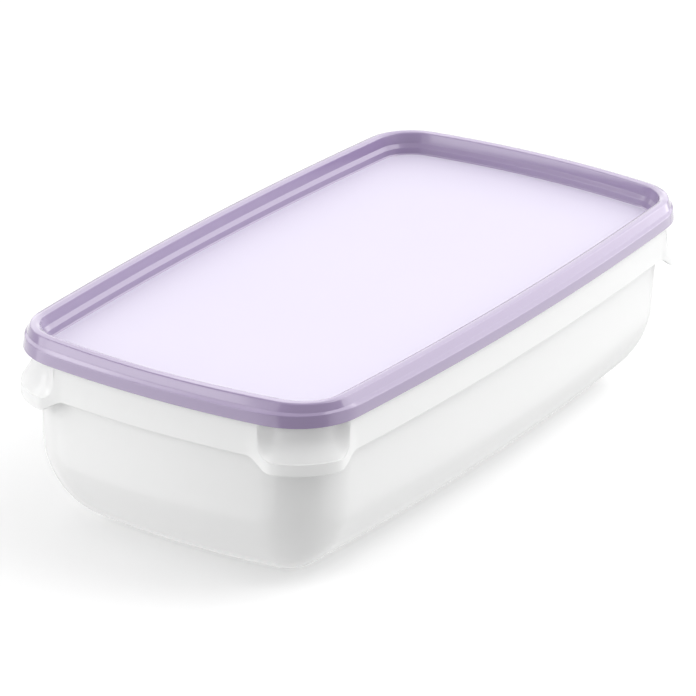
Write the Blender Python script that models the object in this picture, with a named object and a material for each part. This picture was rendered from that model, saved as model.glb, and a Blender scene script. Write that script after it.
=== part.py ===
"""A shut plastic food storage box: a tub with finger grips at its corners and a press-fit lid.

Metres, +Z up, +X along the long side. The tub stands on z = 0, centred on x = y = 0.
"""
import math

import bmesh
import bpy
import numpy as np

# Each plan outline: half length, half width, bow of the long sides, bow of the short sides, corner radius.
LID_PLAN = (0.1500, 0.0789, 0.0067, 0.0078, 0.0290)
CROWN_PLAN = (0.1467, 0.0757, 0.0056, 0.0087, 0.0225)
WALL_PLAN = (0.1455, 0.0740, 0.0068, 0.0097, 0.0296)

# Lid profile: distance in from the lid outline, height, share of the crown outline.
LID_OUTSIDE = (
    (0.0000, 0.0746, 0.0),
    (0.0000, 0.0792, 0.0),
    (0.0003, 0.0796, 0.1),
    (0.0022, 0.0802, 0.6),
    (0.0035, 0.0825, 1.0),
    (0.0041, 0.0832, 1.0),
    (0.0049, 0.0836, 1.0),
    (0.0060, 0.0838, 1.0),
    (0.0070, 0.0836, 1.0),
    (0.0077, 0.0829, 1.0),
    (0.0087, 0.0790, 1.0),
    (0.0096, 0.0772, 1.0),
    (0.0101, 0.0753, 1.0),
    (0.0109, 0.0744, 1.0),
)
LID_INSIDE = (
    (0.0118, 0.0731, 1.0),
    (0.0102, 0.0733, 1.0),
    (0.0092, 0.0742, 1.0),
    (0.0085, 0.0766, 1.0),
    (0.0075, 0.0786, 1.0),
    (0.0065, 0.0822, 1.0),
    (0.0050, 0.0822, 1.0),
    (0.0028, 0.0795, 0.6),
    (0.0013, 0.0786, 0.0),
    (0.0013, 0.0746, 0.0),
)

WALL_THICKNESS = 0.0012
FLOOR_THICKNESS = 0.0015
COLLAR_THICKNESS = 0.0013
WALL_TAPER = 0.0007
FILLET_ACROSS = 0.0348
FILLET_HEIGHT = 0.0378
FILLET_POWER = 1.86
LEAST_CORNER = 0.0030

WALL_INSET = 0.0045
RIM_INSET = 0.0010
RIM_TOP = 0.0802
RIM_STEP = 0.0770
FLANGE_TOP = 0.0755
FLANGE_UNDERSIDE = 0.0742
COLLAR_INSET = 0.0016
COLLAR_BOTTOM = 0.0603

# Finger grips. Each is centred a little to the short side of its corner's middle.
GRIP_MIDDLE = -0.0023
GRIP_PROUD = 0.0009
GRIP_BOTTOM = 0.0554
GRIP_EDGE = 0.0604
GRIP_SIDE = 0.0198
GRIP_SIDE_TOP = 0.0725
GRIP_ROUND_START = 0.0138
GRIP_ROUND_RISE = 0.0065
GRIP_NECK_INSET = 0.0037
GRIP_ROOF = 0.0655
SCOOP_PROFILE = ((0.06, 0.14), (0.20, 0.62), (0.38, 0.92), (0.58, 1.0))

RIB_PITCH = 0.0150
RIB_THICKNESS = 0.0010
RIB_BOTTOM = 0.0608
RIBS_EACH_SIDE = 2

TUB_MARKS = (
    0.0, 0.003, 0.006, 0.009, 0.0115, 0.0135, 0.0150, 0.0164, 0.0176, 0.0186, 0.0193, 0.0198,
    0.0202, 0.0210, 0.0224, 0.0244, 0.0272,
)
LID_MARKS = (0.0, 0.004, 0.008, 0.012, 0.016, 0.020, 0.0235)


def sideRadius(half, bow):
    return (half * half + bow * bow) / (2 * bow)


def shrink(plan, inset):
    """A plan parallel to another, further in."""
    length, width, longBow, shortBow, corner = plan
    longRadius = sideRadius(length, longBow) - inset
    shortRadius = sideRadius(width, shortBow) - inset
    length -= inset
    width -= inset
    longBow = longRadius - math.sqrt(longRadius ** 2 - length ** 2)
    shortBow = shortRadius - math.sqrt(shortRadius ** 2 - width ** 2)
    return (length, width, longBow, shortBow, max(corner - inset, LEAST_CORNER))


def arcs(plan):
    """Centre, radius and end angles of a plan's short side, corner and long side."""
    length, width, longBow, shortBow, corner = plan
    longRadius = sideRadius(length, longBow)
    shortRadius = sideRadius(width, shortBow)
    longCentre = np.array((0.0, width - longRadius))
    shortCentre = np.array((length - shortRadius, 0.0))
    between = shortCentre - longCentre
    distance = np.linalg.norm(between)
    along = (longRadius - corner) ** 2 - (shortRadius - corner) ** 2 + distance ** 2
    along /= 2 * distance
    across = math.sqrt((longRadius - corner) ** 2 - along ** 2)
    direction = between / distance
    sideways = np.array((-direction[1], direction[0]))
    options = [longCentre + along * direction + sign * across * sideways for sign in (1, -1)]
    centre = max(options, key=sum)
    low = math.atan2(centre[1], centre[0] - shortCentre[0])
    high = math.atan2(centre[1] - longCentre[1], centre[0])
    return (
        (shortCentre, shortRadius, 0.0, low),
        (centre, corner, low, high),
        (longCentre, longRadius, high, math.pi / 2),
    )


def stationsOf(marks, middle, shortSteps, longSteps):
    """Where ring points lie in a quarter: arc number, share along it, distance from the marks' middle."""
    lengths = [radius * (end - start) for _, radius, start, end in arcs(LID_PLAN)]
    half = lengths[1] / 2
    distances = [middle - mark for mark in reversed(marks[1:])] + [middle + mark for mark in marks]
    shortEnd = half + lengths[0]
    longEnd = half + lengths[2]
    shortRest = np.linspace(-shortEnd, distances[0], shortSteps + 1)[:-1]
    longRest = np.linspace(distances[-1], longEnd, longSteps + 1)[1:]
    distances = list(shortRest) + distances + list(longRest)
    stations = []
    for distance in distances:
        if distance < -half:
            share = (0, (distance + shortEnd) / lengths[0])
        elif distance <= half:
            share = (1, (distance + half) / lengths[1])
        else:
            share = (2, (distance - half) / lengths[2])
        stations.append((*share, abs(distance - middle)))
    return stations


def allRound(quarter):
    """The four mirrored quarters of a ring, each without its last point."""
    turned = quarter[::-1]
    return np.concatenate([
        quarter[:-1],
        (turned * (-1, 1))[:-1],
        (quarter * (-1, -1))[:-1],
        (turned * (1, -1))[:-1],
    ])


class Loop:
    """Ring stations of one solid, with the points and outward directions of any plan at them."""

    def __init__(self, marks, middle, shortSteps, longSteps):
        self.stations = stationsOf(marks, middle, shortSteps, longSteps)
        away = [station[2] for station in self.stations]
        self.away = np.array((away[:-1] + away[::-1][:-1]) * 2)

    def outline(self, plan, inset=0.0):
        pieces = arcs(plan)
        points = []
        directions = []
        for piece, share, _ in self.stations:
            centre, radius, start, end = pieces[piece]
            angle = start + share * (end - start)
            direction = np.array((math.cos(angle), math.sin(angle)))
            points.append(centre + radius * direction)
            directions.append(direction)
        points = allRound(np.array(points))
        directions = allRound(np.array(directions))
        return points - directions * np.reshape(inset, (-1, 1))


def ease(values):
    share = np.clip(values, 0.0, 1.0)
    return share * share * (3 - 2 * share)


def raised(points, height):
    """Ring of 3-D points at one height, or at a height for each point."""
    return np.column_stack([points, np.broadcast_to(height, len(points))])


def solidFromRings(name, rings, material):
    """Closed solid: rings joined one to the next, with a flat face on the first and the last."""
    bm = bmesh.new()
    loops = [[bm.verts.new(point) for point in ring] for ring in rings]
    for lower, upper in zip(loops, loops[1:]):
        for i in range(len(lower)):
            j = (i + 1) % len(lower)
            bm.faces.new((lower[i], lower[j], upper[j], upper[i]))
    bm.faces.new(list(reversed(loops[0])))
    bm.faces.new(loops[-1])
    bmesh.ops.triangulate(bm, faces=[face for face in bm.faces if len(face.verts) == 4])
    bmesh.ops.recalc_face_normals(bm, faces=bm.faces)
    mesh = bpy.data.meshes.new(name)
    bm.to_mesh(mesh)
    bm.free()
    mesh.materials.append(material)
    mesh.shade_smooth()
    mesh.set_sharp_from_angle(angle=math.radians(28))
    thing = bpy.data.objects.new(name, mesh)
    bpy.context.collection.objects.link(thing)
    return thing


def plastic(name, colour, roughness, transmission):
    material = bpy.data.materials.new(name)
    material.use_nodes = True
    shader = material.node_tree.nodes["Principled BSDF"]
    shader.inputs["Base Color"].default_value = (*colour, 1.0)
    shader.inputs["Roughness"].default_value = roughness
    shader.inputs["Transmission Weight"].default_value = transmission
    shader.inputs["IOR"].default_value = 1.49
    return material


def wallOutline(loop, height, inset=0.0):
    """Tub wall, blending from the lid's corners at the top into the rounder corners lower down."""
    height = np.broadcast_to(height, len(loop.away))
    taper = WALL_TAPER * (FLANGE_UNDERSIDE - height) / (FLANGE_UNDERSIDE - FILLET_HEIGHT)
    share = ease((FLANGE_UNDERSIDE - height) / 0.024).reshape(-1, 1)
    upper = loop.outline(LID_PLAN, WALL_INSET + inset)
    return upper * (1 - share) + loop.outline(WALL_PLAN, taper + inset) * share


def filletRings(loop, steps, inset, floor):
    """Rings from the flat bottom up the large rounding to the wall."""
    across = FILLET_ACROSS - inset
    rise = FILLET_HEIGHT - floor
    rings = []
    for step in range(steps, -1, -1):
        angle = math.pi / 2 * step / steps
        reach = across * (1 - math.cos(angle) ** (2 / FILLET_POWER))
        height = floor + rise * (1 - math.sin(angle) ** (2 / FILLET_POWER))
        plan = shrink(WALL_PLAN, WALL_TAPER + inset + reach)
        rings.append(raised(loop.outline(plan), height))
    return rings


def collarRings(loop):
    """Collar round the tub, from the wall under it to the top of its flange, grips included."""
    away = loop.away
    face = COLLAR_INSET - (COLLAR_INSET + GRIP_PROUD) * ease((0.0256 - away) / 0.014)
    bottom = COLLAR_BOTTOM - (COLLAR_BOTTOM - GRIP_BOTTOM) * ease((0.0246 - away) / 0.0108)
    closed = ease((0.0230 - away) / 0.0025)
    roof = FLANGE_UNDERSIDE - (FLANGE_UNDERSIDE - GRIP_ROOF) * closed
    inner = FLANGE_UNDERSIDE - (FLANGE_UNDERSIDE - bottom - 0.0038) * closed
    turn = np.clip((away - GRIP_ROUND_START) / (GRIP_SIDE - GRIP_ROUND_START), 0, 1)
    edge = GRIP_EDGE + GRIP_ROUND_RISE * (1 - np.sqrt(1 - turn * turn))
    beside = away > GRIP_SIDE + 0.0002
    edge = np.where(beside, GRIP_SIDE_TOP, edge)
    upper = np.where(beside, COLLAR_INSET, face)
    depth = (GRIP_NECK_INSET - upper) * ease((0.0201 - away) / 0.0016)
    neck = np.maximum(upper + depth, COLLAR_INSET)
    rings = [
        raised(wallOutline(loop, roof), roof),
        raised(loop.outline(LID_PLAN, face + COLLAR_THICKNESS), inner),
        raised(loop.outline(LID_PLAN, face + COLLAR_THICKNESS), bottom),
        raised(loop.outline(LID_PLAN, face), bottom),
        raised(loop.outline(LID_PLAN, upper), edge),
    ]
    for rise, hollow in SCOOP_PROFILE:
        height = edge + (FLANGE_TOP - edge) * rise
        inset = neck if hollow == 1.0 else upper + depth * hollow
        rings.append(raised(loop.outline(LID_PLAN, inset), height))
    rings.append(raised(loop.outline(LID_PLAN, neck), FLANGE_TOP))
    return rings


def buildTub(material):
    loop = Loop(TUB_MARKS, GRIP_MIDDLE, 3, 4)
    rings = filletRings(loop, 7, 0.0, 0.0)
    for height in (0.046, 0.054):
        rings.append(raised(wallOutline(loop, height), height))
    rings += collarRings(loop)
    rim = loop.outline(CROWN_PLAN, RIM_INSET)
    rimInside = loop.outline(CROWN_PLAN, RIM_INSET + WALL_THICKNESS)
    rings += [raised(rim, FLANGE_TOP), raised(rim, RIM_TOP)]
    rings += [raised(rimInside, RIM_TOP), raised(rimInside, RIM_STEP)]
    rings.append(raised(wallOutline(loop, FLANGE_UNDERSIDE, WALL_THICKNESS), FLANGE_TOP))
    for height in (0.062, 0.050):
        rings.append(raised(wallOutline(loop, height, WALL_THICKNESS), height))
    rings += reversed(filletRings(loop, 5, WALL_THICKNESS, FLOOR_THICKNESS))
    return solidFromRings("tub", rings, material)


def ribsOf(end):
    """Upright ribs between wall and collar on one short end, as boxes."""
    boxes = []
    for number in range(-RIBS_EACH_SIDE, RIBS_EACH_SIDE + 1):
        y = number * RIB_PITCH
        bow = y * y / (2 * sideRadius(LID_PLAN[1], LID_PLAN[3]))
        outer = LID_PLAN[0] - bow - COLLAR_INSET - COLLAR_THICKNESS / 2
        inner = WALL_PLAN[0] - bow * 1.25 - WALL_TAPER - WALL_THICKNESS / 2
        boxes.append((end * inner, end * outer, y))
    return boxes


def buildRibs():
    bm = bmesh.new()
    for end in (-1, 1):
        for near, far, y in ribsOf(end):
            made = bmesh.ops.create_cube(bm, size=1.0)["verts"]
            top = FLANGE_UNDERSIDE + COLLAR_THICKNESS / 2
            size = (abs(far - near), RIB_THICKNESS, top - RIB_BOTTOM)
            middle = ((near + far) / 2, y, (top + RIB_BOTTOM) / 2)
            bmesh.ops.scale(bm, vec=size, verts=made)
            bmesh.ops.translate(bm, vec=middle, verts=made)
    mesh = bpy.data.meshes.new("ribs")
    bm.to_mesh(mesh)
    bm.free()
    ribs = bpy.data.objects.new("ribs", mesh)
    bpy.context.collection.objects.link(ribs)
    ribs.hide_render = True
    ribs.display_type = "WIRE"
    return ribs


def lidRings(loop, profile):
    rings = []
    for inset, height, share in profile:
        lid = loop.outline(LID_PLAN, inset)
        crown = loop.outline(CROWN_PLAN, inset - (LID_PLAN[0] - CROWN_PLAN[0]))
        rings.append(raised(lid * (1 - share) + crown * share, height))
    return rings


def buildLid(material):
    loop = Loop(LID_MARKS, 0.0, 3, 4)
    outside = lidRings(loop, LID_OUTSIDE)
    inside = lidRings(loop, LID_INSIDE)
    return solidFromRings("lid", inside + outside, material)


def main():
    for thing in list(bpy.data.objects):
        bpy.data.objects.remove(thing, do_unlink=True)
    clear = plastic("tub_plastic", (0.86, 0.87, 0.87), 0.18, 0.55)
    lilac = plastic("lid_plastic", (0.66, 0.57, 0.78), 0.22, 0.0)
    tub = buildTub(clear)
    joined = tub.modifiers.new("ribs", "BOOLEAN")
    joined.operation = "UNION"
    joined.solver = "EXACT"
    joined.object = buildRibs()
    buildLid(lilac)


main()
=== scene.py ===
import math

import bmesh
import bpy
import numpy as np
from mathutils import Matrix, Vector


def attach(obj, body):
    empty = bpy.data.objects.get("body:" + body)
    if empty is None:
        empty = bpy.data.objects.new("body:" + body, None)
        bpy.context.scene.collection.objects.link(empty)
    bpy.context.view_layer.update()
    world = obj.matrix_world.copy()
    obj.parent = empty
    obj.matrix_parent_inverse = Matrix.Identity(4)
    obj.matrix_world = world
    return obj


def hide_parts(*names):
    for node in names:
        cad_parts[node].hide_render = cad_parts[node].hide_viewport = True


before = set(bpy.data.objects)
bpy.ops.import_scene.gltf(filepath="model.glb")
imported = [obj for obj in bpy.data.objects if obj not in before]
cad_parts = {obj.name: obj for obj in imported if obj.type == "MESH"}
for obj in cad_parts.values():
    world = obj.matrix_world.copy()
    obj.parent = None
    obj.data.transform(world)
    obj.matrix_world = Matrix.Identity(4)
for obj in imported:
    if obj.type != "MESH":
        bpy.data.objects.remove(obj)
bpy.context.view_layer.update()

mm = 0.001                         # the values below are millimetres unless a note says otherwise
aimHeight = 0.04                   # metres: the middle of the box, where camera and lamps aim


# outlines seen from above

outlines = {
    # half length, half width, bow of the long sides, bow of the short sides, corner radius
    "lid": (150.0, 78.9, 6.7, 7.8, 29.0),
    "crown": (146.7, 75.7, 5.6, 8.7, 22.5),
    "wall": (145.5, 74.0, 6.8, 9.7, 29.6),
}
leastCorner = 3.0


def arcRadius(half, bow):
    return (half * half + bow * bow) / (2 * bow)


def shrunk(plan, inset):
    # the same outline, further in
    length, width, longBow, shortBow, corner = plan
    longRadius = arcRadius(length, longBow) - inset
    shortRadius = arcRadius(width, shortBow) - inset
    length, width = length - inset, width - inset
    longBow = longRadius - math.sqrt(longRadius ** 2 - length ** 2)
    shortBow = shortRadius - math.sqrt(shortRadius ** 2 - width ** 2)
    return length, width, longBow, shortBow, max(corner - inset, leastCorner)


def arcsOf(plan):
    # centre, radius, first and last angle of the short side, the corner and the long side
    length, width, longBow, shortBow, corner = plan
    longRadius, shortRadius = arcRadius(length, longBow), arcRadius(width, shortBow)
    longCentre, shortCentre = np.array((0, width - longRadius)), np.array((length - shortRadius, 0))
    between = shortCentre - longCentre
    distance = np.linalg.norm(between)
    a, b = longRadius - corner, shortRadius - corner
    along = (a * a - b * b + distance ** 2) / (2 * distance)
    across = math.sqrt(a * a - along * along) * np.array((-between[1], between[0])) / distance
    middle = longCentre + along * between / distance
    centre = max((middle + across, middle - across), key=sum)
    low = math.atan2(centre[1], centre[0] - shortCentre[0])
    high = math.atan2(centre[1] - longCentre[1], centre[0])
    return (shortCentre, shortRadius, 0, low), (centre, corner, low, high), \
        (longCentre, longRadius, high, math.pi / 2)


class Track:
    # the places round an outline where a piece has its points, closer together at the corners

    def __init__(self, marks, middle, shortSteps, longSteps):
        lengths = [radius * (last - first) for _, radius, first, last in arcsOf(outlines["lid"])]
        half = lengths[1] / 2
        ends = -half - lengths[0], half + lengths[2]
        places = [middle - m for m in marks[:0:-1]] + [middle + m for m in marks]
        places = list(np.linspace(ends[0], places[0], shortSteps + 1)[:-1]) + places
        places += list(np.linspace(places[-1], ends[1], longSteps + 1)[1:])
        self.shares = []
        for place in places:
            if place < -half:
                self.shares.append((0, (place - ends[0]) / lengths[0]))
            elif place <= half:
                self.shares.append((1, (place + half) / lengths[1]))
            else:
                self.shares.append((2, (place - half) / lengths[2]))
        away = [abs(place - middle) for place in places]
        self.away = np.array((away[:-1] + away[:0:-1]) * 2)   # distance from the middle of the nearest grip
        self.count = len(self.away)

    def outline(self, plan, inset=0.0):
        points, directions = [], []
        pieces = arcsOf(plan)
        for piece, share in self.shares:
            centre, radius, first, last = pieces[piece]
            angle = first + share * (last - first)
            direction = np.array((math.cos(angle), math.sin(angle)))
            points.append(centre + radius * direction)
            directions.append(direction)
        points, directions = self.mirrored(points), self.mirrored(directions)
        return points - directions * np.reshape(inset, (-1, 1))

    def mirrored(self, quarter):
        quarter = np.array(quarter)
        back = quarter[::-1]
        return np.concatenate([quarter[:-1], (back * (-1, 1))[:-1], (quarter * (-1, -1))[:-1],
                               (back * (1, -1))[:-1]])


def ease(x):
    x = np.clip(x, 0, 1)
    return x * x * (3 - 2 * x)


def fade(away, ending):
    # one near the middle of a corner, and falling to nothing at the end, over the length
    end, length = ending
    return ease((end - away) / length)


def atHeight(points, height):
    return np.column_stack([points, np.broadcast_to(height, len(points))])


# making a piece: a disc, extruded row by row, each row laid on its outline

startRadius = 0.1                  # metres: the disc before its first row is laid
mergeDistance = 0.000002           # metres
leastReach = 0.05
mostReach = 0.47                   # share of the way to the next row


def soften(rows, radii, steps):
    # rounds the profile at the rows that have a radius, as far as the rows beside them leave room
    made = [rows[0]]
    for before, here, after, radius in zip(rows, rows[1:], rows[2:], radii[1:]):
        if not radius:
            made.append(here)
            continue
        back, ahead = before - here, after - here
        backLength = np.linalg.norm(back, axis=1, keepdims=True)
        aheadLength = np.linalg.norm(ahead, axis=1, keepdims=True)
        cosine = np.sum(back * ahead, axis=1, keepdims=True) / (backLength * aheadLength)
        halfAngle = np.arccos(np.clip(cosine, -1, 1)) / 2
        reach = np.maximum(radius / np.tan(halfAngle), leastReach)
        reach = np.minimum(reach, mostReach * np.minimum(backLength, aheadLength))
        start, end = here + back / backLength * reach, here + ahead / aheadLength * reach
        for share in np.linspace(0, 1, steps + 1):
            made.append((1 - share) ** 2 * start + 2 * share * (1 - share) * here + share ** 2 * end)
    made.append(rows[-1])
    return made


def layRow(piece, row):
    bm = bmesh.from_edit_mesh(piece.data)
    place = bm.verts.layers.int["place"]
    for vert in bm.verts:
        if vert.select:
            vert.co = Vector(row[vert[place]]) * mm
    bmesh.update_edit_mesh(piece.data)


def extrudeRows(name, rows):
    bpy.ops.object.select_all(action="DESELECT")
    bpy.ops.mesh.primitive_circle_add(vertices=len(rows[0]), radius=startRadius, fill_type="NGON")
    piece = bpy.context.object
    piece.name = piece.data.name = name
    places = piece.data.attributes.new("place", "INT", "POINT")
    places.data.foreach_set("value", list(range(len(rows[0]))))
    bpy.ops.object.mode_set(mode="EDIT")
    bpy.ops.mesh.select_mode(type="VERT")
    bpy.ops.mesh.select_all(action="SELECT")
    layRow(piece, rows[0])
    for row in rows[1:]:
        bpy.ops.mesh.extrude_region_move(TRANSFORM_OT_translate={"value": (0, 0, mm)})
        layRow(piece, row)
    bpy.ops.mesh.select_all(action="SELECT")
    bpy.ops.mesh.remove_doubles(threshold=mergeDistance)
    bpy.ops.mesh.normals_make_consistent(inside=False)
    bpy.ops.object.mode_set(mode="OBJECT")
    piece.data.attributes.remove(piece.data.attributes["place"])
    return piece


def finishPiece(piece, material, angle):
    bpy.ops.object.select_all(action="DESELECT")
    piece.select_set(True)
    bpy.context.view_layer.objects.active = piece
    bpy.ops.object.shade_smooth_by_angle(angle=math.radians(angle))
    piece.data.materials.clear()
    piece.data.materials.append(material)
    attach(piece, "root")
    print(piece.name, "has", sum(len(face.vertices) - 2 for face in piece.data.polygons), "triangles")


# finishes

class Value:
    # a shader socket that sums and products can be written with

    def __init__(self, finish, socket):
        self.finish, self.socket = finish, socket

    def maths(self, operation, first, second):
        return self.finish.add("ShaderNodeMath", {"operation": operation}, {0: first, 1: second})

    def __add__(self, other):
        return self.maths("ADD", self, other)

    __radd__ = __add__

    def __mul__(self, other):
        return self.maths("MULTIPLY", self, other)

    __rmul__ = __mul__

    def __sub__(self, other):
        return self.maths("SUBTRACT", self, other)

    def __rsub__(self, other):
        return self.maths("SUBTRACT", other, self)

    def size(self):
        return self.maths("ABSOLUTE", self, 0)


class Finish:
    # one procedural material on object coordinates

    def __init__(self, name):
        self.material = bpy.data.materials.new(name)
        self.material.use_nodes = True
        self.tree = self.material.node_tree
        self.shader = self.tree.nodes["Principled BSDF"]
        self.place = self.add("ShaderNodeTexCoord", output="Object")

    def add(self, kind, settings=None, inputs=None, output=0):
        node = self.tree.nodes.new(kind)
        for name, value in (settings or {}).items():
            setattr(node, name, value)
        for name, value in (inputs or {}).items():
            self.feed(node.inputs[name], value)
        return Value(self, node.outputs[output])

    def feed(self, socket, value):
        if isinstance(value, Value):
            self.tree.links.new(value.socket, socket)
        else:
            socket.default_value = value

    def set(self, **values):
        for name, value in values.items():
            self.feed(self.shader.inputs[name.replace("_", " ")], value)

    def parts(self, vector):
        split = self.add("ShaderNodeSeparateXYZ", inputs={0: vector}).socket.node
        return [Value(self, output) for output in split.outputs]

    def below(self, value, limit):
        return value.maths("LESS_THAN", value, limit)

    def smooth(self, value, low, high):
        return self.add("ShaderNodeMapRange", {"interpolation_type": "SMOOTHSTEP"},
                        {"Value": value, "From Min": low, "From Max": high})

    def noise(self, scale, detail=2.0, stretch=(1, 1, 1)):
        place = self.add("ShaderNodeMapping", inputs={"Vector": self.place, "Scale": stretch})
        inputs = {"Vector": place, "Scale": scale, "Detail": detail}
        return self.add("ShaderNodeTexNoise", inputs=inputs, output="Fac")

    def blend(self, share, first, second):
        # sockets 6 and 7 and output 2 are the colours of a Mix node
        return self.add("ShaderNodeMix", {"data_type": "RGBA"}, {0: share, 6: first, 7: second}, output=2)

    def mixIn(self, other, share):
        # the shader with a share of another one
        mixed = self.add("ShaderNodeMixShader", inputs={0: share, 2: other})
        self.tree.links.new(self.shader.outputs["BSDF"], mixed.socket.node.inputs[1])
        self.tree.links.new(mixed.socket, self.tree.nodes["Material Output"].inputs["Surface"])

    def bump(self, height, strength, depth):
        inputs = {"Height": height, "Strength": strength, "Distance": depth}
        return self.add("ShaderNodeBump", inputs=inputs)


lidPlastic = {
    "colour": (0.285, 0.22, 0.37, 1),  # polished rim
    "deeper": (0.273, 0.209, 0.356, 1),
    "panelPaintedLight": (0.615, 0.57, 0.7, 1),   # painted light: the satin panel is painted paler than the rim to stand in for the light and sheen on the top
    "panelPaintedLightDeeper": (0.6, 0.555, 0.685, 1),
    "panelEdge": (0.1415, 0.0695, 0.07441, 0.0745),   # metres: along, across, and the heights of the change
    "flowScale": 14.0,                 # slow changes left by the flow of the melt
    "flowDetail": 3.0,
    "flowStretch": (1, 1.6, 2),
    "roughness": 0.175,
    "roughnessChange": 0.05,
    "panelRoughness": 0.42,
    "polish": 0.09,                    # roughness of the outermost gloss
    "refraction": 1.5,
    "grainScale": 1500.0,
    "grainStrength": 0.25,
    "grainDepth": 0.000012,            # metres
}


def makeLidPlastic():
    finish = Finish("lilacPlastic")
    flow = finish.noise(lidPlastic["flowScale"], lidPlastic["flowDetail"], lidPlastic["flowStretch"])
    grain = finish.noise(lidPlastic["grainScale"])
    along, across, low, high = lidPlastic["panelEdge"]
    x, y, z = finish.parts(finish.place)
    within = finish.below(x.size(), along) * finish.below(y.size(), across)
    panel = within * (1 - finish.smooth(z, low, high))
    rim = finish.blend(flow, lidPlastic["colour"], lidPlastic["deeper"])
    # the panel's paler colour is painted light, standing in for the light and sheen that fall on the top
    middle = finish.blend(flow, lidPlastic["panelPaintedLight"], lidPlastic["panelPaintedLightDeeper"])
    rimRoughness = flow * lidPlastic["roughnessChange"] + lidPlastic["roughness"]
    finish.set(
        Base_Color=finish.blend(panel, rim, middle),
        Roughness=rimRoughness + panel * (lidPlastic["panelRoughness"] - rimRoughness),
        Normal=finish.bump(grain, lidPlastic["grainStrength"], lidPlastic["grainDepth"]),
        IOR=lidPlastic["refraction"],
        Coat_Weight=1 - panel,
        Coat_Roughness=lidPlastic["polish"],
        Coat_IOR=lidPlastic["refraction"],
    )
    return finish.material


tubPlastic = {
    "colour": (0.92, 0.922, 0.92, 1),
    "cloudier": (0.9, 0.902, 0.9, 1),
    "milk": (0.94, 0.942, 0.94, 1),    # colour of the light that comes through
    "clearness": 0.2,                  # share of the light that comes through
    "refraction": 1.49,
    "roughness": 0.09,
    "roughnessChange": 0.04,
    "flowScale": 10.0,
    "flowDetail": 3.0,
    "flowStretch": (1, 1.4, 2.2),
    "grainScale": 1200.0,
    "grainStrength": 0.2,
    "grainDepth": 0.00001,             # metres
}


def makeTubPlastic():
    finish = Finish("frostedPlastic")
    flow = finish.noise(tubPlastic["flowScale"], tubPlastic["flowDetail"], tubPlastic["flowStretch"])
    grain = finish.noise(tubPlastic["grainScale"])
    finish.set(
        Base_Color=finish.blend(flow, tubPlastic["colour"], tubPlastic["cloudier"]),
        Roughness=flow * tubPlastic["roughnessChange"] + tubPlastic["roughness"],
        Normal=finish.bump(grain, tubPlastic["grainStrength"], tubPlastic["grainDepth"]),
        IOR=tubPlastic["refraction"],
    )
    through = finish.add("ShaderNodeBsdfTranslucent", inputs={"Color": tubPlastic["milk"]})
    finish.mixIn(through, tubPlastic["clearness"])
    return finish.material


# lid

lid = {
    # distance in from the outline, height, share of the crown outline, rounding, further in at the corners
    "outside": (
        (0.0, 74.6, 0, 0.35, 0), (0.0, 79.45, 0, 0.5, 0.75), (2.15, 80.25, 0.6, 0.35, 0.35),
        (3.95, 83.35, 1, 1.1, 0), (6.0, 83.85, 1, 1.6, 0), (7.75, 83.25, 1, 0.8, 0), (8.6, 78.9, 1, 0.4, 0),
        (9.75, 77.2, 1, 0.4, 0), (10.15, 74.9, 1, 0.3, 0), (10.9, 74.4, 1, 0.4, 0), (14.0, 74.4, 1, 0, 0),
    ),
    "inside": (
        (15.0, 73.1, 1, 0, 0), (11.8, 73.1, 1, 0.5, 0), (10.2, 73.3, 1, 0.5, 0), (9.2, 74.2, 1, 0.5, 0),
        (8.5, 76.6, 1, 0.5, 0), (7.4, 78.6, 1, 0.5, 0), (6.5, 82.2, 1, 0.6, 0), (5.0, 82.2, 1, 0.6, 0),
        (2.8, 79.5, 0.6, 0.5, 0.35), (1.3, 78.6, 0, 0.5, 0.6), (1.3, 74.6, 0, 0.35, 0),
    ),
    "crownInset": 3.3,                 # the crown outline is this much smaller than the lid's
    "cornerReach": 22.5,               # points lie close together this far each way from a corner's middle
    "cornerSteps": 18,
    "cornerFade": (25.0, 15.0),        # where the lean of the corners ends, and over what length
    "sideSteps": (9, 14),
    "roundingSteps": 8,
    "smoothAngle": 32,
}


def lidRow(track, inset, height, share, rounding, further):
    outer = track.outline(outlines["lid"], inset + further * fade(track.away, lid["cornerFade"]))
    crown = track.outline(outlines["crown"], inset - lid["crownInset"])
    return atHeight(outer * (1 - share) + crown * share, height)


def buildLid(material):
    marks = list(np.linspace(0, lid["cornerReach"], lid["cornerSteps"]))
    track = Track(marks, 0.0, *lid["sideSteps"])
    corners = lid["inside"] + lid["outside"]
    rows = [lidRow(track, *corner) for corner in corners]
    radii = [rounding for _, _, _, rounding, _ in corners]
    piece = extrudeRows("lid_shell", soften(rows, radii, lid["roundingSteps"]))
    finishPiece(piece, material, lid["smoothAngle"])
    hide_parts("lid")
    return piece


# tub

tub = {
    "wallThickness": 1.2,
    "floorThickness": 1.5,
    "collarThickness": 1.3,
    "wallTaper": 0.7,
    "wallInset": 4.5,                  # in from the lid outline, at the top
    "cornerBlend": 24.0,               # height over which the wall's corners grow rounder
    "outsideHeights": (42, 46, 50, 54, 57),
    "insideHeights": (68, 62, 56, 50, 44),
    "roundingAcross": 34.8,            # the large rounding along the bottom
    "roundingHeight": 37.8,
    "roundingPower": 1.86,
    "outsideSteps": 18,
    "insideSteps": 12,
    "flatInset": 2.0,                  # the bottom's first row lies this far inside the rounding
    "rimInset": 1.0,
    "rimTop": 80.2,
    "rimStep": 77.0,
    "rimRounding": 0.5,
    "footRounding": 0.4,
    "shoulderRounding": 0.5,
    "flangeTop": 75.5,
    "flangeUnderside": 74.2,
    "collarInset": 1.6,
    "collarBottom": 60.3,
    "sideSteps": (9, 14),
    "profileSteps": 4,
    "smoothAngle": 34,
}

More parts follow.
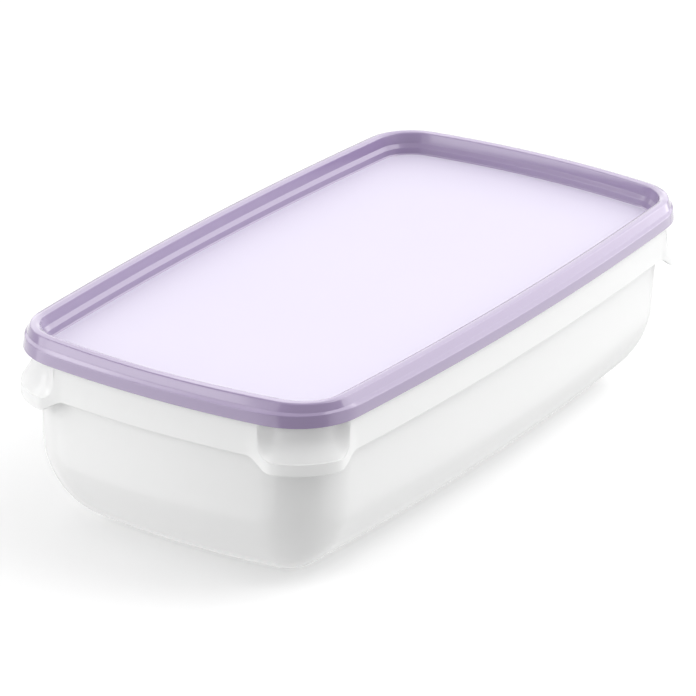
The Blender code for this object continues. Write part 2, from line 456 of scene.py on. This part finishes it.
grip = {
    "middle": -2.3,                    # from the corner's middle, towards the short side
    "proud": 0.9,                      # past the lid outline
    # places along the outline, from the grip's middle: where each change ends, and over what length
    "proudFade": (25.6, 14.0),
    "bottomFade": (24.6, 10.8),
    "closedFade": (23.0, 2.5),
    "bottom": 55.4,
    "edge": 60.4,
    "side": 19.8,
    "sideMargin": 0.2,
    "sideTop": 72.5,
    "roundStart": 13.8,
    "roundRise": 6.5,
    "neckInset": 3.95,
    "scoopEnd": 20.1,
    "sideRun": 8.5,                    # the scoop deepens from its end over this width
    "sidePower": 2.6,
    "roof": 65.5,                      # the space behind the grip is closed down to here
    "lipDepth": 3.8,                   # height of the open space just behind the lip
    "rootRounding": 0.6,
    "lipRounding": 0.5,
    "edgeRounding": 0.35,
    "neckRounding": 0.3,
    # points along the outline, from the grip's middle, closest together where the scoop meets the collar
    "evenPoints": ((0, 12, 13), (12.6, 18, 10)),
    "closePoints": (18.4, 18.8, 19.1, 19.4, 19.6, 19.8, 20.0, 20.2, 20.5, 21.0, 21.6, 22.3, 23.0, 23.7,
                    24.5, 25.5, 27.2),
    # rise from the edge to the flange, and share of the depth
    "scoop": ((0.008, 0.08), (0.05, 0.14), (0.13, 0.30), (0.24, 0.52), (0.37, 0.745), (0.46, 0.88),
              (0.57, 0.985), (0.68, 1.0)),
}


def wallRow(track, height, inset=0.0):
    # the wall under the lid blends from the lid's corners into the rounder ones lower down
    top = tub["flangeUnderside"]
    height = np.broadcast_to(height, track.count)
    taper = tub["wallTaper"] * (top - height) / (top - tub["roundingHeight"])
    share = ease((top - height) / tub["cornerBlend"]).reshape(-1, 1)
    upper = track.outline(outlines["lid"], tub["wallInset"] + inset)
    return upper * (1 - share) + track.outline(outlines["wall"], taper + inset) * share


def roundingRows(track, steps, inset, floor):
    across, rise, power = tub["roundingAcross"] - inset, tub["roundingHeight"] - floor, tub["roundingPower"]
    rows = []
    for step in range(steps, -1, -1):
        angle = math.pi / 2 * step / steps
        reach = across * (1 - math.cos(angle) ** (2 / power))
        height = floor + rise * (1 - math.sin(angle) ** (2 / power))
        plan = shrunk(outlines["wall"], tub["wallTaper"] + inset + reach)
        rows.append(atHeight(track.outline(plan), height))
    flat = shrunk(outlines["wall"], tub["wallTaper"] + inset + across + tub["flatInset"])
    return [atHeight(track.outline(flat), floor)] + rows


def collarRows(track):
    # the hanging collar with a grip scooped out of it at each corner
    away, lidPlan = track.away, outlines["lid"]
    flange, thick, collar = tub["flangeUnderside"], tub["collarThickness"], tub["collarInset"]
    face = collar - (collar + grip["proud"]) * fade(away, grip["proudFade"])
    bottom = tub["collarBottom"] - (tub["collarBottom"] - grip["bottom"]) * fade(away, grip["bottomFade"])
    closed = fade(away, grip["closedFade"])
    roof = flange - (flange - grip["roof"]) * closed
    inner = flange - (flange - bottom - grip["lipDepth"]) * closed
    turn = np.clip((away - grip["roundStart"]) / (grip["side"] - grip["roundStart"]), 0, 1)
    edge = grip["edge"] + grip["roundRise"] * (1 - np.sqrt(1 - turn * turn))
    edge = np.where(away > grip["side"] + grip["sideMargin"], grip["sideTop"], edge)
    # at its sides the lip leans like the collar beside it
    lean = ease(turn) * (edge - bottom) / (grip["sideTop"] - bottom)
    upper = face + (collar - face) * lean
    opened = np.clip((grip["scoopEnd"] - away) / grip["sideRun"], 0, 1)
    depth = (grip["neckInset"] - upper) * (1 - (1 - opened) ** grip["sidePower"])
    neck = np.maximum(upper + depth, collar)
    rows = [
        (atHeight(wallRow(track, roof), roof), grip["rootRounding"]),
        (atHeight(track.outline(lidPlan, face + thick), inner), grip["rootRounding"]),
        (atHeight(track.outline(lidPlan, face + thick), bottom), grip["lipRounding"]),
        (atHeight(track.outline(lidPlan, face), bottom), grip["lipRounding"]),
        (atHeight(track.outline(lidPlan, upper), edge), grip["edgeRounding"]),
    ]
    for rise, hollow in grip["scoop"]:
        height = edge + (tub["flangeTop"] - edge) * rise
        inset = neck if hollow == 1.0 else upper + depth * hollow
        rows.append((atHeight(track.outline(lidPlan, inset), height), 0))
    rows.append((atHeight(track.outline(lidPlan, neck), tub["flangeTop"]), grip["neckRounding"]))
    return rows


def tubRows(track):
    # each row with its rounding: from the underside up the outside, over the rim and down to the floor
    thickness = tub["wallThickness"]
    top, foot, shoulder = tub["rimRounding"], tub["footRounding"], tub["shoulderRounding"]
    rows = [(row, 0) for row in roundingRows(track, tub["outsideSteps"], 0.0, 0.0)]
    rows += [(atHeight(wallRow(track, height), height), 0) for height in tub["outsideHeights"]]
    rows += collarRows(track)
    rim = track.outline(outlines["crown"], tub["rimInset"])
    rimInside = track.outline(outlines["crown"], tub["rimInset"] + thickness)
    rows += [(atHeight(rim, tub["flangeTop"]), foot), (atHeight(rim, tub["rimTop"]), top)]
    rows += [(atHeight(rimInside, tub["rimTop"]), top), (atHeight(rimInside, tub["rimStep"]), foot)]
    rows.append((atHeight(wallRow(track, tub["flangeUnderside"], thickness), tub["flangeTop"]), shoulder))
    rows += [(atHeight(wallRow(track, height, thickness), height), 0) for height in tub["insideHeights"]]
    inside = roundingRows(track, tub["insideSteps"], thickness, tub["floorThickness"])
    rows += [(row, 0) for row in reversed(inside)]
    return rows


def buildTub(material):
    marks = [mark for stretch in grip["evenPoints"] for mark in np.linspace(*stretch)]
    marks += grip["closePoints"]
    track = Track(marks, grip["middle"], *tub["sideSteps"])
    rows, radii = zip(*tubRows(track))
    piece = extrudeRows("tub_shell", soften(rows, radii, tub["profileSteps"]))
    addRibs(piece)
    finishPiece(piece, material, tub["smoothAngle"])
    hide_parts("tub")
    return piece


ribs = {
    "pitch": 15.0,
    "thickness": 1.0,
    "bottom": 60.8,
    "eachSide": 2,
    "wallBowShare": 1.25,              # the wall behind bows about this many times as much as the collar
}


def addRibs(piece):
    # upright ribs between the wall and the collar at both short ends, united with the tub
    made = []
    lidLength, lidWidth, _, lidBow, _ = outlines["lid"]
    wallLength = outlines["wall"][0]
    top = tub["flangeUnderside"] + tub["collarThickness"] / 2
    for end in (-1, 1):
        for number in range(-ribs["eachSide"], ribs["eachSide"] + 1):
            y = number * ribs["pitch"]
            bow = y * y / (2 * arcRadius(lidWidth, lidBow))
            outer = lidLength - bow - tub["collarInset"] - tub["collarThickness"] / 2
            inner = wallLength - bow * ribs["wallBowShare"] - tub["wallTaper"] - tub["wallThickness"] / 2
            bpy.ops.object.select_all(action="DESELECT")
            bpy.ops.mesh.primitive_cube_add(
                size=mm, location=(end * (inner + outer) / 2 * mm, y * mm, (top + ribs["bottom"]) / 2 * mm),
                scale=(outer - inner, ribs["thickness"], top - ribs["bottom"]))
            rib = bpy.context.object
            bpy.ops.object.transform_apply()
            made.append(rib)
    for rib in made:
        rib.select_set(True)
    bpy.ops.object.join()
    joined = bpy.context.object
    bpy.context.view_layer.objects.active = piece
    union = piece.modifiers.new("ribs", "BOOLEAN")
    union.operation, union.solver, union.object = "UNION", "EXACT", joined
    bpy.ops.object.modifier_apply(modifier=union.name)
    bpy.data.objects.remove(joined)


# camera, floor and light

camera = {
    "yaw": -58.004,                    # degrees
    "pitch": 22.77,
    "roll": 1.328,
    "target": (4.825, 8.235, 40.0),
    "distance": 1900.209,
    "focal": 4672.088,                 # in pixels of a picture 696 wide
    "pictureWidth": 696,
    "sensor": 36,
    "clip": (0.05, 100),               # metres
}


def turned(angle, first, second):
    return first * math.cos(angle) + second * math.sin(angle)


def buildCamera():
    yaw, pitch, roll = (math.radians(camera[name]) for name in ("yaw", "pitch", "roll"))
    back = Vector((math.sin(yaw) * math.cos(pitch), -math.cos(yaw) * math.cos(pitch), math.sin(pitch)))
    right = Vector((math.cos(yaw), math.sin(yaw), 0))
    up = back.cross(right)
    right, up = turned(roll, right, up), turned(roll, up, -right)
    pose = Matrix((right, up, back)).transposed().to_4x4()
    pose.translation = (Vector(camera["target"]) + back * camera["distance"]) * mm
    bpy.ops.object.camera_add()
    view = bpy.context.object
    view.name = "camera"
    view.matrix_world = pose
    view.data.sensor_width = camera["sensor"]
    view.data.lens = camera["sensor"] * camera["focal"] / camera["pictureWidth"]
    view.data.clip_start, view.data.clip_end = camera["clip"]
    bpy.context.scene.camera = view


def around(azimuth, elevation, distance):
    # a place seen from the box: degrees from the camera's azimuth, anticlockwise from above, and metres
    angle = math.radians(azimuth + camera["yaw"] - 90)
    level = math.radians(elevation)
    flat = math.cos(level) * distance
    height = math.sin(level) * distance + aimHeight
    return Vector((math.cos(angle) * flat, math.sin(angle) * flat, height))


softboxes = {
    # azimuth and elevation in degrees, distance, width and height in metres, brightness,
    # and whether it stands upright and is seen only as a reflection
    "leftBox": (-72, 18, 1.3, 1.3, 0.9, 2.15, False),
    "rightBox": (107, 14, 1.3, 1.4, 0.8, 2.0, False),
    "rightHighBox": (95, 48, 1.4, 1.4, 0.8, 2.2, False),
    "overBox": (0, 88, 1.4, 1.6, 1.6, 0.5, False),
    "backHighBox": (180, 47, 1.75, 3.8, 1.4, 1.55, True),
    "backLowBox": (180, 18, 1.7, 3.0, 0.45, 1.3, True),
    "backTopBox": (-157, 53.5, 2.0, 1.6, 0.6, 1.5, True),
    "leftUpBox": (-60, 33, 1.3, 1.0, 0.45, 0.8, True),
    "leftLowBox": (-61, -20, 1.3, 2.1, 1.3, 1.0, True),
    "rightLowBox": (92, -20, 1.3, 2.42, 1.3, 0.35, True),
}


def addSoftbox(name, azimuth, elevation, distance, width, height, brightness, onlyReflected):
    bpy.ops.object.light_add(type="AREA", location=around(azimuth, elevation, distance))
    box = bpy.context.object
    box.name = name
    towards = Vector((0, 0, aimHeight)) - box.location
    if onlyReflected:
        towards.z = 0
        box.visible_diffuse = box.visible_transmission = box.visible_volume_scatter = False
        box.data.use_shadow = False
    box.rotation_euler = towards.to_track_quat("-Z", "Y").to_euler()
    box.visible_camera = False
    light = box.data
    light.shape, light.size, light.size_y = "RECTANGLE", width, height
    light.energy = brightness * math.pi * width * height       # so its face is as bright at any size


studio = {
    "floorSize": 60.0,                 # metres
    "floorColour": (0.93, 0.93, 0.93, 1),
    "floorRoughness": 0.9,
    # brightness below and above the horizon, round about and on the camera's side
    "surroundBrightness": (1.08, 0.72),
    "frontBrightness": (0.5, 0.6),
    "horizonBlend": 0.15,              # sine of the angle above and below the horizon where it changes
    "frontWidth": (0.35, 0.75),        # cosines of the angles at which the camera's side starts and is full
}


def buildFloor():
    bpy.ops.mesh.primitive_plane_add(size=studio["floorSize"], location=(0, 0, 0))
    floor = bpy.context.object
    floor.name = "floor"
    finish = Finish("paleFloor")
    finish.set(Base_Color=studio["floorColour"], Roughness=studio["floorRoughness"])
    floor.data.materials.append(finish.material)
    floor.visible_glossy = False       # the gloss shows the low softboxes, as over a lit glass table
    floor.visible_diffuse = False


def ramp(tree, value, low, high, first, last):
    node = tree.nodes.new("ShaderNodeMapRange")
    node.interpolation_type = "SMOOTHSTEP"
    given = {"Value": value, "From Min": low, "From Max": high, "To Min": first, "To Max": last}
    for name, what in given.items():
        if isinstance(what, bpy.types.NodeSocket):
            tree.links.new(what, node.inputs[name])
        else:
            node.inputs[name].default_value = what
    return node.outputs["Result"]


def buildSurround():
    world = bpy.data.worlds.new("surround")
    world.use_nodes = True
    tree = world.node_tree
    place = tree.nodes.new("ShaderNodeTexCoord").outputs["Generated"]
    parts = tree.nodes.new("ShaderNodeSeparateXYZ")
    tree.links.new(place, parts.inputs[0])
    towards = tree.nodes.new("ShaderNodeVectorMath")
    towards.operation = "DOT_PRODUCT"
    tree.links.new(place, towards.inputs[0])
    towards.inputs[1].default_value = (around(0, 0, 1) - Vector((0, 0, aimHeight)))[:]
    height, blend = parts.outputs["Z"], studio["horizonBlend"]
    sides = ramp(tree, height, -blend, blend, *studio["surroundBrightness"])
    front = ramp(tree, height, -blend, blend, *studio["frontBrightness"])
    strength = ramp(tree, towards.outputs["Value"], *studio["frontWidth"], sides, front)
    background = tree.nodes["Background"]
    background.inputs["Color"].default_value = (1, 1, 1, 1)
    tree.links.new(strength, background.inputs["Strength"])
    bpy.context.scene.world = world


def buildStudio():
    buildFloor()
    buildSurround()
    for name, facts in softboxes.items():
        addSoftbox(name, *facts)
    bpy.context.scene.view_settings.view_transform = "Standard"


buildCamera()
print("camera set")
buildLid(makeLidPlastic())
buildTub(makeTubPlastic())
buildStudio()
print("studio set")
